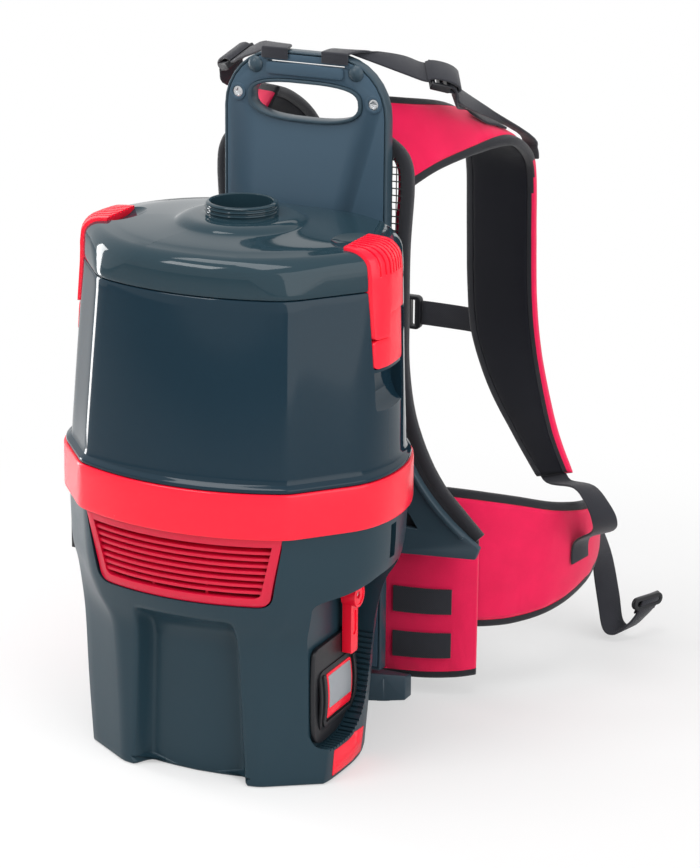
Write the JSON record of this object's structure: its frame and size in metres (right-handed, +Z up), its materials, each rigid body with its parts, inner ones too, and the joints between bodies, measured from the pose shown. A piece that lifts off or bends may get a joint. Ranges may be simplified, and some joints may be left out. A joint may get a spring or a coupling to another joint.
{
  "type": "backpack vacuum cleaner",
  "caption": "Battery backpack vacuum cleaner with a latched dust canister, exhaust grille, slide-in battery, carrying frame and padded harness.",
  "frame": {"origin": "on the floor, on the axis of the hose inlet", "axes": "+Z up along the inlet's axis, +Y towards the wearer's back, -Y towards the exhaust grille, +X towards the battery's side"},
  "size_m": [0.5094, 0.5329, 0.5872],
  "materials": {
    "slate_plastic": "satin moulded plastic",
    "gloss_slate_plastic": "glossy moulded plastic",
    "red_plastic": "satin moulded plastic",
    "black_plastic": "fine-grained moulded plastic",
    "webbing": "woven webbing",
    "red_fabric": "woven fabric over foam",
    "black_padding": "foam under mesh cloth",
    "filter_cloth": "filter cloth",
    "steel": "plated",
    "copper": "enamelled wire over laminations",
    "brass": "bright",
    "aluminium": "cast",
    "circuit_board": "coated",
    "rubber": "moulded"
  },
  "bodies": {
    "vacuum": {"lower_housing": "slate_plastic", "base_cover": "slate_plastic", "red_band": "red_plastic", "exhaust_grille": "red_plastic", "exhaust_filter": "filter_cloth", "canister": "gloss_slate_plastic", "motor_deck": "slate_plastic", "main_filter": "filter_cloth", "filter_bag": "filter_cloth", "motor_can": "steel", "motor_mounts": "black_plastic", "motor_stator": "copper", "motor_bearings": "steel", "fan_shroud": "steel", "control_board": "circuit_board", "battery_bay": "black_plastic", "battery_terminals": "brass", "corner_tag": "red_plastic", "latch_base_right": "red_plastic", "latch_base_left": "red_plastic", "latch_pins": "steel", "catch_pin": "steel", "back_frame": "slate_plastic", "frame_panel": "slate_plastic", "handle_sleeve": "slate_plastic", "frame_knobs": "slate_plastic", "frame_screws": "steel", "frame_foot": "slate_plastic", "back_pad": "black_padding", "pad_binding": "webbing", "lumbar_pad": "red_fabric", "lumbar_patches": "webbing", "shoulder_strap_right": "red_fabric", "shoulder_strap_left": "red_fabric", "load_lifter_right": "webbing", "load_lifter_left": "webbing", "lifter_buckle_right": "black_plastic", "lifter_buckle_left": "black_plastic", "sternum_strap": "webbing", "sternum_buckle": "black_plastic", "hip_wing_right": "red_fabric", "hip_wing_left": "red_fabric", "lower_strap_right": "webbing", "lower_strap_left": "webbing", "hip_webbing_right": "webbing", "hip_webbing_left": "webbing", "hip_ring_right": "black_plastic", "hip_ring_left": "black_plastic", "rocker_bezel": "black_plastic"},
    "lid": {"lid": "gloss_slate_plastic", "lid_seal": "rubber"},
    "latch_right": {"latch_hook_right": "red_plastic"},
    "latch_left": {"latch_hook_left": "red_plastic"},
    "battery": {"battery_case": "black_plastic", "battery_cap": "black_plastic"},
    "battery_catch": {"battery_catch": "red_plastic"},
    "fan": {"impeller": "aluminium", "motor_shaft": "steel"},
    "power_rocker": {"power_rocker": "red_plastic"}
  },
  "joints": [
    {"name": "lid_lift", "type": "slide", "parent": "vacuum", "child": "lid", "axis": [0, 0, 1], "range_m": [0, 0.05]},
    {"name": "latch_right_turn", "type": "hinge", "parent": "vacuum", "child": "latch_right", "pos_m": [0.141, -0.01, 0.392], "axis": [0, 1, 0], "range_deg": [0, 80]},
    {"name": "latch_left_turn", "type": "hinge", "parent": "vacuum", "child": "latch_left", "pos_m": [-0.141, -0.01, 0.392], "axis": [0, -1, 0], "range_deg": [0, 80]},
    {"name": "battery_slide", "type": "slide", "parent": "vacuum", "child": "battery", "axis": [1, 0, 0], "range_m": [0, 0.06]},
    {"name": "battery_catch_turn", "type": "hinge", "parent": "vacuum", "child": "battery_catch", "pos_m": [0.11, -0.014, 0.157], "axis": [-1, 0, 0], "range_deg": [0, 90]},
    {"name": "fan_spin", "type": "hinge", "parent": "vacuum", "child": "fan", "pos_m": [0, 0, 0.2], "axis": [0, 0, 1], "continuous": true},
    {"name": "power_rocker_turn", "type": "hinge", "parent": "vacuum", "child": "power_rocker", "pos_m": [-0.143, -0.0117, 0.176], "axis": [0, -1, 0], "range_deg": [0, 10]}
  ],
  "couplings": [
    {"joint": "latch_right_turn", "follows": "lid_lift", "rad_per_m": 27.9},
    {"joint": "latch_left_turn", "follows": "lid_lift", "rad_per_m": 27.9},
    {"joint": "battery_catch_turn", "follows": "battery_slide", "rad_per_m": 26.17}
  ]
}
